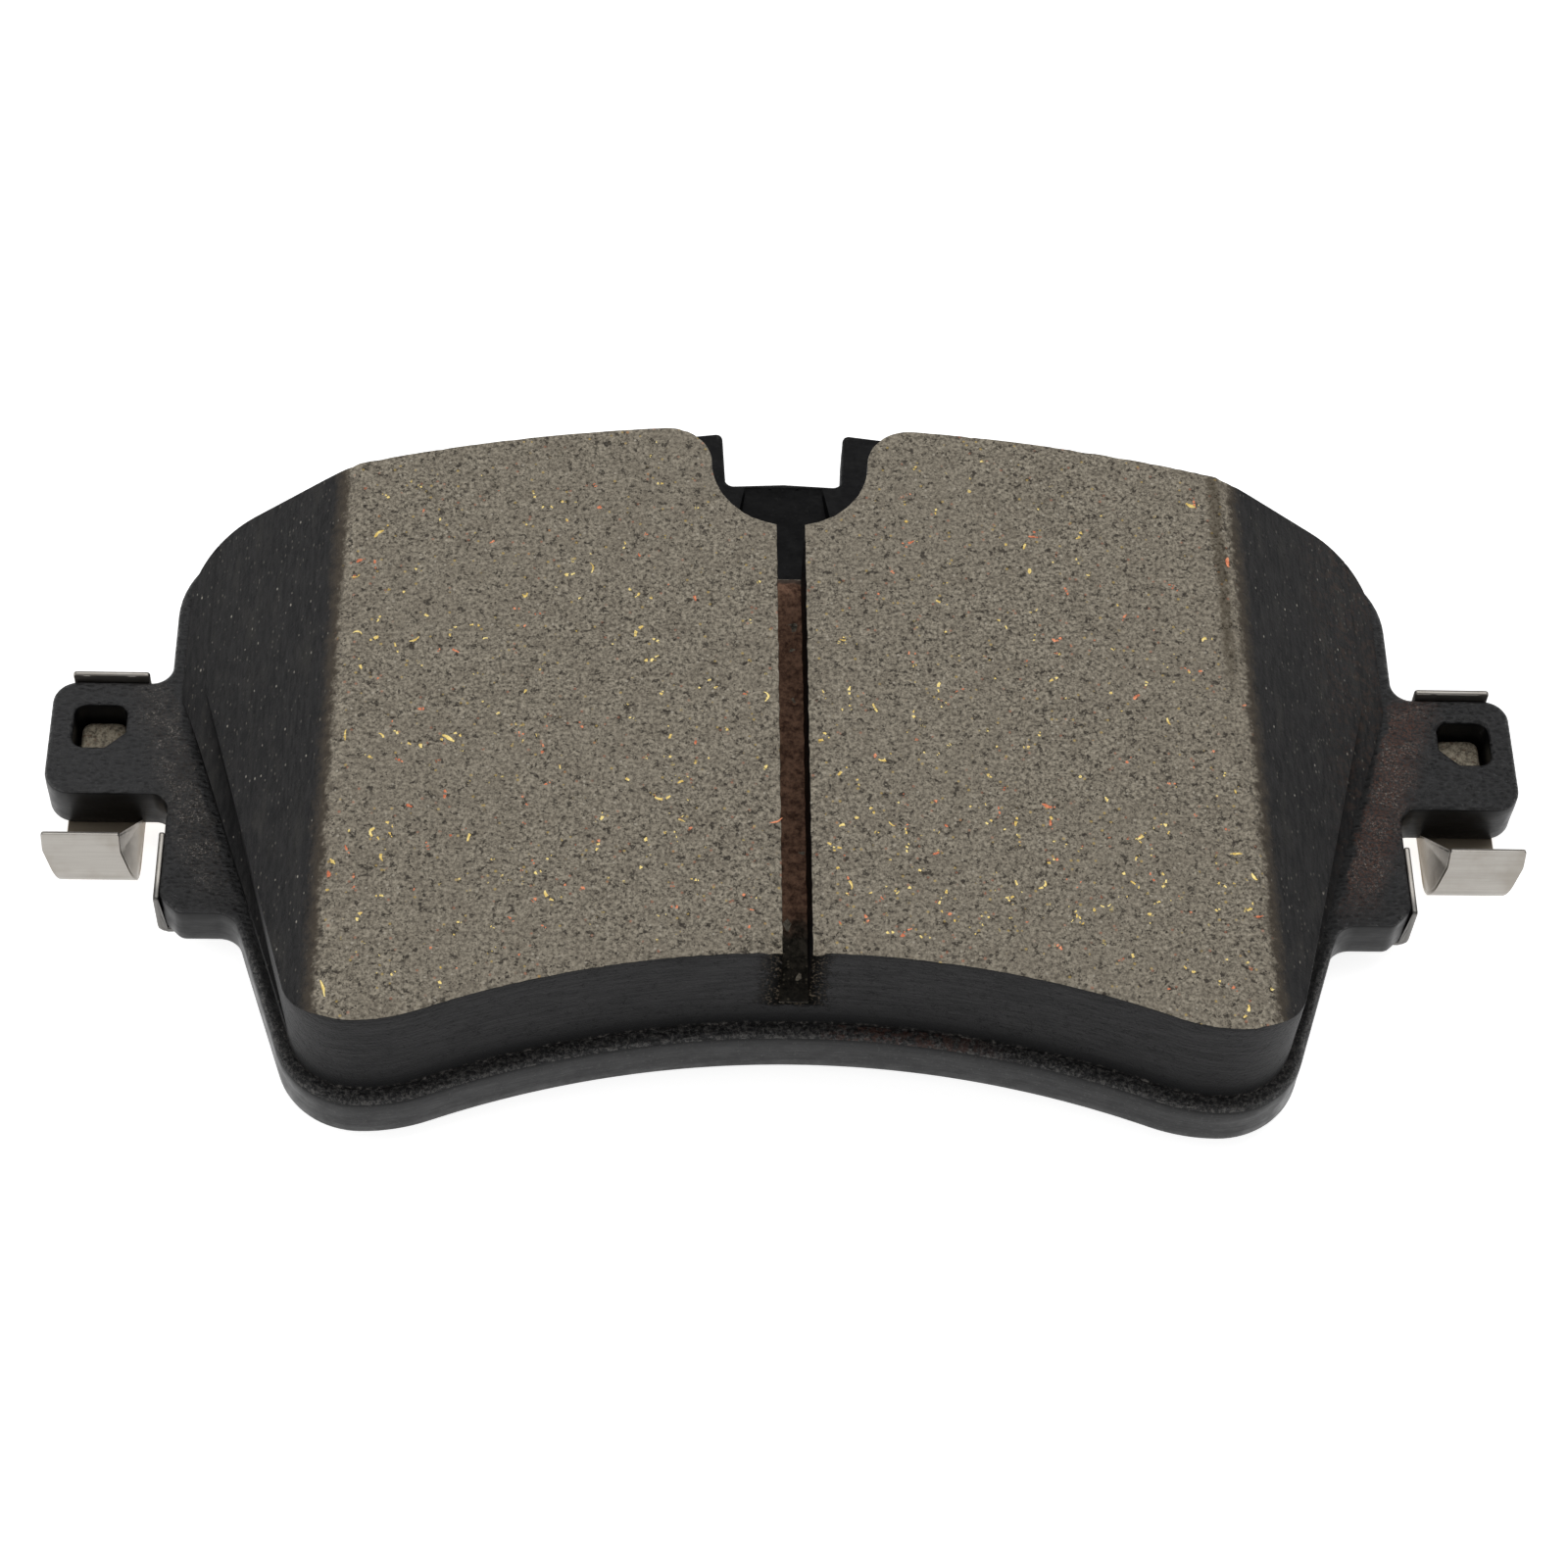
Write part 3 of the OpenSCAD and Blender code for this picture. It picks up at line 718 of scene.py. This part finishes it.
# ---------------------------------------------------------------- plate
HOLE_X0, HOLE_X1, HOLE_Y0, HOLE_Y1 = 58.8, 63.4, 4.9, 9.4
HOLE_R, HOLE_CUT = 1.1, (1.7, 1.6)
hole = rounded([((HOLE_X0 + HOLE_CUT[0], HOLE_Y0), 0.4), ((HOLE_X1, HOLE_Y0), HOLE_R),
                ((HOLE_X1, HOLE_Y1), HOLE_R), ((HOLE_X0, HOLE_Y1), HOLE_R),
                ((HOLE_X0, HOLE_Y0 + HOLE_CUT[1]), 0.4)])
SEAT_D, SEAT_RAMP = 2.0, 5.8
seat_out = [(-4.4, 24), (4.4, 24), (4.4, 31), (3.65, 35.05), (-3.65, 35.05), (-4.4, 31)]
seat_in = [(-4.2, 24.2), (4.2, 24.2), (4.2, 31), (3.5, 34.9), (-3.5, 34.9), (-4.2, 31)]
seat_ring = resample(seat_in, 0.5)


def in_seat(x, y):
    if abs(x) > 4.21 or not 24.1 < y < 35.0:
        return False
    return inside((x, y), seat_in) or min(math.dist((x, y), q) for q in seat_ring) < 0.02


def plate_top(x, y):
    if in_seat(x, y):
        return BOND_Z - SEAT_D * clamp((NOTCH_FLOOR[1] - y) / SEAT_RAMP)
    return BOND_Z


def rolled(x, y):
    """Rounding that the stamping leaves on the upper edge, larger round the inner edge."""
    return 0.4 + 0.35 * fade(-y, 12.5, 16.5)


def broken(x, y):
    """Rounding of the lower edge, larger beside the shoulders."""
    return 0.3 + 0.45 * fade(-y, 8, 10) * fade(-y, 16, 13)


plate = slab(
    "plate_body", rounded(both_sides(plate_half())),
    [hole, [(-x, y) for x, y in hole]],
    plate_top, lambda x, y: PLATE_Z, PLATE, step=0.7, grid=2.2,
    round_top=rolled, round_low=broken, features=[resample(seat_out, 0.5), seat_ring],
    levels=4, wobble=0.05, slot_name="plate_steel",
)
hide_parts("backing_plate")

# ---------------------------------------------------------------- lining


def past(s):
    """How far s is past 0, with a soft corner there."""
    return (s + math.sqrt(s * s + 0.05)) / 2


def lining_top(x, y):
    first = (FACE_Z - BREAK_Z) / (BREAK_X - FACE_HALF)
    ax = abs(x)
    return FACE_Z - first * past(ax - FACE_HALF) - (BEVEL - first) * past(ax - BREAK_X)


def crumble(x, y, d):
    """Small losses along the rims, larger ones at the mouths of the slot."""
    near = math.exp(-(d / 0.35) ** 2)
    n = noise.noise(Vector((x * 1.3, y * 1.3, 3)))
    loss = near * (0.05 + 0.16 * max(0.0, n)) * (1 - fade(abs(x), 40, 42))
    mouth = math.exp(-((abs(x) - 1.6) ** 2 / 2.0 + (y + 22.0) ** 2 / 1.2))
    loss += mouth * 0.9 * max(0.0, noise.noise(Vector((x * 0.9, y * 0.9, 8))) + 0.25)
    return -loss


def clamp_x(loop, limit):
    """The loop cut off at limit on both sides."""
    out = []
    for x, y in loop:
        p = (max(-limit, min(limit, x)), y)
        if not out or math.dist(out[-1], p) > 1e-3:
            out.append(p)
    return out


def reach(z):
    """Half width at which the bevel comes down to height z."""
    return min(SIDE, BREAK_X + (BREAK_Z - z) / BEVEL - 0.01)


def bevel_rows(xs, pitch):
    """Rows of points along Y that keep the bends of the bevel straight."""
    return [(x, LOW_ROW + pitch * i) for x in xs for i in range(round(ROW_SPAN / pitch))]


LOW_ROW, ROW_SPAN = -32, 66
half = rounded(lining_half(True))
full = rounded(both_sides(lining_half(False)))
for side, label in ((1, "right"), (-1, "left")):
    outline = clamp_x([(side * x, y) for x, y in half], reach(LINING_Z))
    bends = [side * (x + d) for x in (FACE_HALF, BREAK_X) for d in (-0.3, 0.0, 0.3)]
    slab("lining_" + label, outline, [], lining_top, lambda x, y: LINING_Z, FRICTION,
         step=0.5, grid=1.0, round_top=0.12, levels=8, wobble=0.08, soften=crumble,
         rows=bevel_rows(bends, 0.5), slot_name="friction")
y_low, y_top = lining_low(SLOT_HALF), bay_low(SLOT_HALF)
e_low, e_top = slot_edge(y_low), slot_edge(y_top)
under_slot = [(-e_low, y_low), (e_low, y_low), (e_top, y_top), (-e_top, y_top)]
base = slab("lining_base", under_slot, [], lambda x, y: SLOT_Z, lambda x, y: LINING_Z, FRICTION,
            step=0.6, grid=1.5, round_top=0.0, levels=3, slot_name="friction")
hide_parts("friction_lining")


def gully(x, y):
    """Rough floor of the slot."""
    n = noise.noise(Vector((x * 1.1, y * 0.7, 1))) + 0.5 * noise.noise(Vector((x * 3, y * 3, 4)))
    return SLOT_Z + 0.12 + 0.22 * n


FLOOR_HALF = 1.33
slot_lo, slot_hi = lining_low(1.3) + 0.05, BAY_Y - BAY_R - 0.02
floor_strip = [(-FLOOR_HALF, slot_lo), (FLOOR_HALF, slot_lo), (FLOOR_HALF, slot_hi), (-FLOOR_HALF, slot_hi)]
slab("slot_floor", floor_strip, [], gully, lambda x, y: SLOT_Z - 0.4, slot_floor_material(),
     step=0.5, grid=0.45, round_top=0.05, levels=2, slot_name="friction")

under = slab("underlayer_body", full, [], lambda x, y: min(LINING_Z, lining_top(x, y)),
             lambda x, y: UNDER_Z, underlayer_material(), step=0.6, grid=2.5, round_top=0.0,
             levels=4, wobble=0.05,
             rows=[(s * x, LOW_ROW + 0.8 * i) for s in (1, -1) for x in (51.7, 51.9, 53) for i in range(80)],
             slot_name="underlayer")
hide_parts("underlayer")
film = slab("bond_film_body", inset(full, 0.3), [], lambda x, y: UNDER_Z,
            lambda x, y: BOND_Z, bond_material(), step=1.0, grid=5, round_top=0.0, levels=1,
            slot_name="bond")
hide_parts("bond_film")

# ---------------------------------------------------------------- flecks in the face


def flecks(name, material, count, seed, size, curl):
    """Thin curled shavings of metal that lie in the ground face."""
    rnd = random.Random(seed)
    verts, faces, made = [], [], 0
    while made < count:
        x, y = rnd.uniform(-39, 39), rnd.uniform(-30, 31)
        if abs(x) < 2.2 or math.hypot(x, y - BAY_Y) < 8.6:
            continue
        if not all(inside((x + dx, y + dy), full) for dx in (-1.6, 1.6) for dy in (-1.6, 1.6)):
            continue
        if rnd.random() > lower_more(y):
            continue
        made += 1
        length = size[0] + (size[1] - size[0]) * rnd.random() ** 2.2
        turn, bend = rnd.uniform(0, math.tau), rnd.uniform(-curl, curl)
        wide = rnd.uniform(0.13, 0.28) * (1.0 if curl > 1 else 1.8)
        n, px, py, base = 6, x, y, len(verts)
        for i in range(n + 1):
            a = turn + bend * (i / n) ** 1.3 + rnd.uniform(-0.25, 0.25)
            taper = 0.35 + math.sin(math.pi * min(0.95, max(0.08, i / n)))
            w = wide * taper * rnd.uniform(0.6, 1.1) / 2
            z = FACE_Z - 0.03 + 0.05 * rnd.random()
            for s in (-1, 1):
                verts.append((px - s * w * math.sin(a), py + s * w * math.cos(a), z))
            px += length / n * math.cos(a)
            py += length / n * math.sin(a)
        for i in range(n):
            q = base + 2 * i
            faces.append([q, q + 2, q + 3, q + 1])
    return make(name, verts, faces, material, slot_name="friction")


def lower_more(y):
    """Chance of keeping a fleck at y: the lower half of the face shows more."""
    return 0.45 + 0.55 * clamp((12 - y) / 30)


BRASS = fleck_material("brass_fleck", (196, 166, 88), (232, 212, 140))
COPPER = fleck_material("copper_fleck", (176, 96, 66), (214, 140, 104))
flecks("brass_flecks", BRASS, 420, 11, (0.3, 1.7), 2.4)
flecks("copper_flecks", COPPER, 170, 12, (0.35, 1.3), 1.4)

# ---------------------------------------------------------------- clips
SHEET = 0.45
STRIP_IN, STRIP_W = 57.0, 6.8
WEB = PLATE_Z - SHEET / 2
LOOP_R = 2.6
DROP, MID_R, LOOP_CZ = 4.2, LOOP_R - SHEET / 2, PLATE_Z - SHEET + LOOP_R
TURN, LEG, SHIFT, SKEW = 109.0, 3.8, 1.1, (2.6, 6.4)
LEAF_RISE = 0.8
LEAF_Y = EAR_H + SHEET / 2 + 0.08
LEAF_LOW, LEAF_HIGH, LEAF_TOP = -10.9, -3.9, 5.8
WING_IN, WING_OUT, WING_TOP = 51.2, 54.95, 0.6
LEAF_SEAM, STRIP_SEAM_TOP = 54.1, 10.4
BEND_R = 0.55
BUTTON_RISE, BUTTON_ROUND = 2.4, 0.4


def upturn(s, end):
    """Point and normal after length s of sheet that runs flat, then turns up at end."""
    flat = end - BEND_R
    if s < flat:
        return (s, WEB), (0, 1)
    a = (s - flat) / BEND_R
    if a < math.pi / 2:
        return (flat + BEND_R * math.sin(a), WEB + BEND_R * (1 - math.cos(a))), (-math.sin(a), math.cos(a))
    return (end, WEB + BEND_R + (a - math.pi / 2) * BEND_R), (-1, 0)


def upturn_length(end, top):
    """Length of sheet that reaches height top after the turn at end."""
    return end - BEND_R + BEND_R * math.pi / 2 + (top - WEB - BEND_R)


def strip_map(x, v):
    """Blank of the strip to its folded place: point and unit normal of the middle surface."""
    if v > -DROP:
        (y, z), (ny, nz) = upturn(v, LEAF_Y)
        return (x, y, z), (0, ny, nz)
    run = -DROP - v
    a = min(math.radians(TURN), run / MID_R)
    rest = max(0.0, run - MID_R * math.radians(TURN))
    shift = SHIFT * clamp((run - SKEW[0]) / (SKEW[1] - SKEW[0]))
    y = -DROP - MID_R * math.sin(a) - rest * math.cos(a)
    z = LOOP_CZ - MID_R * math.cos(a) + rest * math.sin(a)
    return (x + shift, y, z), (0, math.sin(a), math.cos(a))


def leaf_map(u, y):
    """Blank of the side leaf, folded up along Y."""
    (x, z), (nx, nz) = upturn(u, SHOULDER + SHEET / 2)
    return (x, y, z), (nx, 0, nz)


def sheet_piece(name, outline, holes, place, side, seams=(), grid=0.45, thick=SHEET):
    """Bent sheet: a flat blank, netted and then folded by place. Edges on seams stay square."""
    loops = [resample(outline if area(outline) > 0 else outline[::-1], 0.35)]
    loops += [resample(h if area(h) < 0 else h[::-1], 0.3) for h in holes]
    pts, edges, rings, rims = [], [], [], []
    for loop in loops:
        b = len(pts)
        for p, n in zip(loop, normals(loop)):
            r = 0.0 if any(s(p) for s in seams) else 0.07
            pts.append((p[0] - n[0] * r, p[1] - n[1] * r))
            rims.append((p, r))
        rings.append(list(range(b, b + len(loop))))
        edges += [(b + i, b + (i + 1) % len(loop)) for i in range(len(loop))]
    tree = kdtree.KDTree(len(pts))
    for i, p in enumerate(pts):
        tree.insert((*p, 0), i)
    tree.balance()
    xs, ys = [p[0] for p in pts], [p[1] for p in pts]
    y = min(ys)
    while y < max(ys):
        x = min(xs)
        while x < max(xs):
            if tree.find((x, y, 0))[2] > 0.22 and inside((x, y), loops[0]):
                pts.append((x, y))
            x += grid * 1.6
        y += grid
    res = geometry.delaunay_2d_cdt([Vector(p) for p in pts], edges, [], 0, 1e-6, True)
    back = {o: new for new, olds in enumerate(res[3]) for o in olds}
    verts, faces, n0 = [], [], len(res[0])
    for sign in (1, -1):
        for v in res[0]:
            p, n = place(v.x, v.y)
            verts.append([p[i] + sign * n[i] * thick / 2 for i in range(3)])
    for f in res[2]:
        c = [sum(res[0][i][a] for i in f) / 3 for a in (0, 1)]
        if inside(c, loops[0]) and not any(inside(c, h) for h in loops[1:]):
            faces.append(list(f))
            faces.append([i + n0 for i in f][::-1])
    for ring in rings:
        mid = []
        for i in ring:
            for h in (0.3, -0.3):
                p, n = place(*rims[i][0])
                mid.append(len(verts))
                verts.append([p[j] + h * n[j] * thick for j in range(3)])
        k = len(ring)
        for i in range(k):
            j = (i + 1) % k
            col = lambda q: [back[ring[q]], mid[2 * q], mid[2 * q + 1], back[ring[q]] + n0]
            a, b = col(i), col(j)
            for m in range(3):
                faces.append([a[m], a[m + 1], b[m + 1], b[m]])
    verts = [(side * v[0], v[1], v[2]) for v in verts]
    if side < 0:
        faces = [f[::-1] for f in faces]
    return make(name, verts, faces, STEEL, smooth_deg=50, body=None, slot_name="clip_steel")


def offset_hole(m, short):
    """The hole's outline set in by m, and shorter by short on its outer side."""
    x0, x1, y0, y1 = HOLE_X0 + m, HOLE_X1 - m - short, HOLE_Y0 + m, HOLE_Y1 - m
    cx, cy = HOLE_CUT
    cut = 1 + m * (math.hypot(1 / cx, 1 / cy) - 1 / cx - 1 / cy)
    r = HOLE_R - m
    return rounded([((x0 + cut * cx, y0), 0.2), ((x1, y0), r), ((x1, y1), r), ((x0, y1), r),
                    ((x0, y0 + cut * cy), 0.2)])


def button(name, side):
    """Hollow button drawn up out of the web, with a rounded top edge."""
    verts, faces, rings = [], [], []
    top, r = PLATE_Z + BUTTON_RISE, BUTTON_ROUND
    shape = [(0.0, 0.52), (0.0, top - r)]
    shape += [(r * (1 - math.cos(a)), top - r + r * math.sin(a)) for a in (0.5, 1.0, math.pi / 2)]
    shape += [(0.44, top - SHEET), (0.44, 0.5)]
    for inset, z in shape:
        loop = offset_hole(0.15 + inset * 0.98, 0.2)
        rings.append([len(verts) + i for i in range(len(loop))])
        verts += [(side * x, y, z) for x, y in loop]
    k = len(rings[0])
    for a, b in [(rings[i], rings[i + 1]) for i in (0, 1, 2, 3, 5)]:
        for i in range(k):
            j = (i + 1) % k
            faces.append([a[i], a[j], b[j], b[i]] if side > 0 else [b[i], b[j], a[j], a[i]])
    faces.append(rings[4] if side > 0 else rings[4][::-1])
    faces.append(rings[5][::-1] if side > 0 else rings[5])
    return make(name, verts, faces, BUTTON, smooth_deg=60, slot_name="clip_steel")


def button_material():
    """Steel under a coat of brake dust."""
    k = Nodes("button_steel")
    n = k.noise(2.6, 4, 0.75)
    col = k.mix(k.step(n, 0.35, 0.65), srgb(84, 76, 63), srgb(170, 160, 140))
    col = k.mix(k.times(k.step(k.noise(1.5, 3, 0.7), 0.55, 0.65), 0.6), col, srgb(96, 66, 44))
    return k.finish(Base_Color=col, Metallic=0.2, Roughness=0.7, Normal=k.bump(n, 0.08, 0.8))


BUTTON = button_material()
STRIP_OUT = STRIP_IN + STRIP_W
strip_top = upturn_length(LEAF_Y, BOND_Z + LEAF_RISE)
strip_low = -DROP - MID_R * math.radians(TURN) - LEG
strip_blank = rounded([((STRIP_IN, strip_low), 0.25), ((STRIP_OUT, strip_low), 0.25),
                       ((STRIP_OUT, strip_top), 0.3), ((STRIP_IN, strip_top), 0.3)])
wing_blank = rounded([((WING_IN, LEAF_LOW), 0.8), ((LEAF_SEAM, LEAF_LOW), 0), ((LEAF_SEAM, LEAF_HIGH), 0),
                      ((WING_OUT, LEAF_HIGH), 0), ((WING_OUT, WING_TOP), 0.6), ((STRIP_IN, WING_TOP), 0),
                      ((STRIP_IN, STRIP_SEAM_TOP), 0), ((WING_IN, 7.4), 1.5)])
leaf_top = upturn_length(SHOULDER + SHEET / 2, LEAF_TOP)
leaf_blank = rounded([((LEAF_SEAM, LEAF_LOW), 0), ((leaf_top, LEAF_LOW), 0.3),
                      ((leaf_top, LEAF_HIGH), 0.3), ((LEAF_SEAM, LEAF_HIGH), 0)])


def flat_map(x, y):
    return (x, y, WEB), (0, 0, 1)


def at_strip(p):
    return abs(p[0] - STRIP_IN) < 0.01


def at_wing(p):
    return at_strip(p) and WING_TOP < p[1] < STRIP_SEAM_TOP


def at_leaf(p):
    return abs(p[0] - LEAF_SEAM) < 0.01


for side, label in ((1, "right"), (-1, "left")):
    clip = label + "_clip"
    strip = sheet_piece(clip + "_strip", strip_blank, [offset_hole(0.6, 0.2)], strip_map, side, [at_wing])
    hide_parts(clip, clip + "_leg")
    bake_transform(strip)
    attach(sheet_piece(clip + "_wing", wing_blank, [], flat_map, side, [at_strip, at_leaf]), "pad")
    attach(sheet_piece(clip + "_leaf", leaf_blank, [], leaf_map, side, [at_leaf]), "pad")
    button(clip + "_button", side)

# ---------------------------------------------------------------- shim
SHIM = {
    "shim_rubber_coat": ("shim_rubber", rubber_material()),
    "shim_core": ("shim_steel", steel_material("shim_steel", (150, 151, 152))),
    "shim_adhesive": ("shim_glue", film_material("shim_glue", (150, 132, 100), (176, 158, 122))),
}
for node, (slot_name, material) in SHIM.items():
    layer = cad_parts[node]
    layer.data.materials.clear()
    layer.data.materials.append(material)

# ---------------------------------------------------------------- floor, light, camera
scene = bpy.context.scene
FLOOR, FLOOR_Z = 3.0, -0.0006
floor_mesh = bpy.data.meshes.new("floor")
corners = [(x * FLOOR, y * FLOOR, FLOOR_Z) for x, y in ((-1, -1), (1, -1), (1, 1), (-1, 1))]
floor_mesh.from_pydata(corners, [], [(0, 1, 2, 3)])
floor = bpy.data.objects.new("floor", floor_mesh)
scene.collection.objects.link(floor)
white = Nodes("floor_white").finish(Base_Color=(0.95, 0.95, 0.95), Roughness=0.9, Specular_IOR_Level=0.0,
                                    Emission_Color=(1.0, 1.0, 1.0), Emission_Strength=0.78)
floor_mesh.materials.append(white)

world = bpy.data.worlds.new("studio")
world.use_nodes = True
background = world.node_tree.nodes["Background"]
background.inputs["Color"].default_value = (1, 1, 1, 1)
background.inputs["Strength"].default_value = 0.24
scene.world = world
scene.view_settings.view_transform = "Standard"


def softbox(name, place, size, watts):
    """Rectangular light that shines at the origin."""
    light = bpy.data.lights.new(name, "AREA")
    light.shape = "RECTANGLE"
    light.size, light.size_y = size
    light.energy = watts
    obj = bpy.data.objects.new(name, light)
    scene.collection.objects.link(obj)
    obj.location = place
    obj.rotation_euler = (-Vector(place)).to_track_quat("-Z", "Y").to_euler()


softbox("key", (0.1, 0.35, 0.75), (0.9, 0.6), 3.2)
softbox("front", (-0.15, -0.7, 0.45), (0.7, 0.5), 1.1)
softbox("left", (-0.8, 0.05, 0.35), (0.4, 0.5), 1.0)

# camera angles in degrees, its aim and distance in millimetres, and its lens on a 36 mm frame
ELEVATION, AZIMUTH, ROLL = 56.3956, 4.3392, 4.3518
AIM, DISTANCE, SENSOR, LENS = (-0.5097, -0.2, 8.9), 320.141, 36.0, 83.862
el, az, roll = (math.radians(a) for a in (ELEVATION, AZIMUTH, ROLL))
target = Vector(AIM) * MM
forward = Vector((math.cos(el) * math.sin(az), math.cos(el) * math.cos(az), -math.sin(el)))
right = forward.cross(Vector((0, 0, 1))).normalized()
up = right.cross(forward)
right, up = right * math.cos(roll) + up * math.sin(roll), up * math.cos(roll) - right * math.sin(roll)
cam_data = bpy.data.cameras.new("camera")
cam_data.sensor_width = SENSOR
cam_data.lens = LENS
cam_data.clip_start = 0.01
camera = bpy.data.objects.new("camera", cam_data)
scene.collection.objects.link(camera)
spin = Matrix((right, up, -forward)).transposed().to_4x4()
camera.matrix_world = Matrix.Translation(target - forward * DISTANCE * MM) @ spin
scene.camera = camera
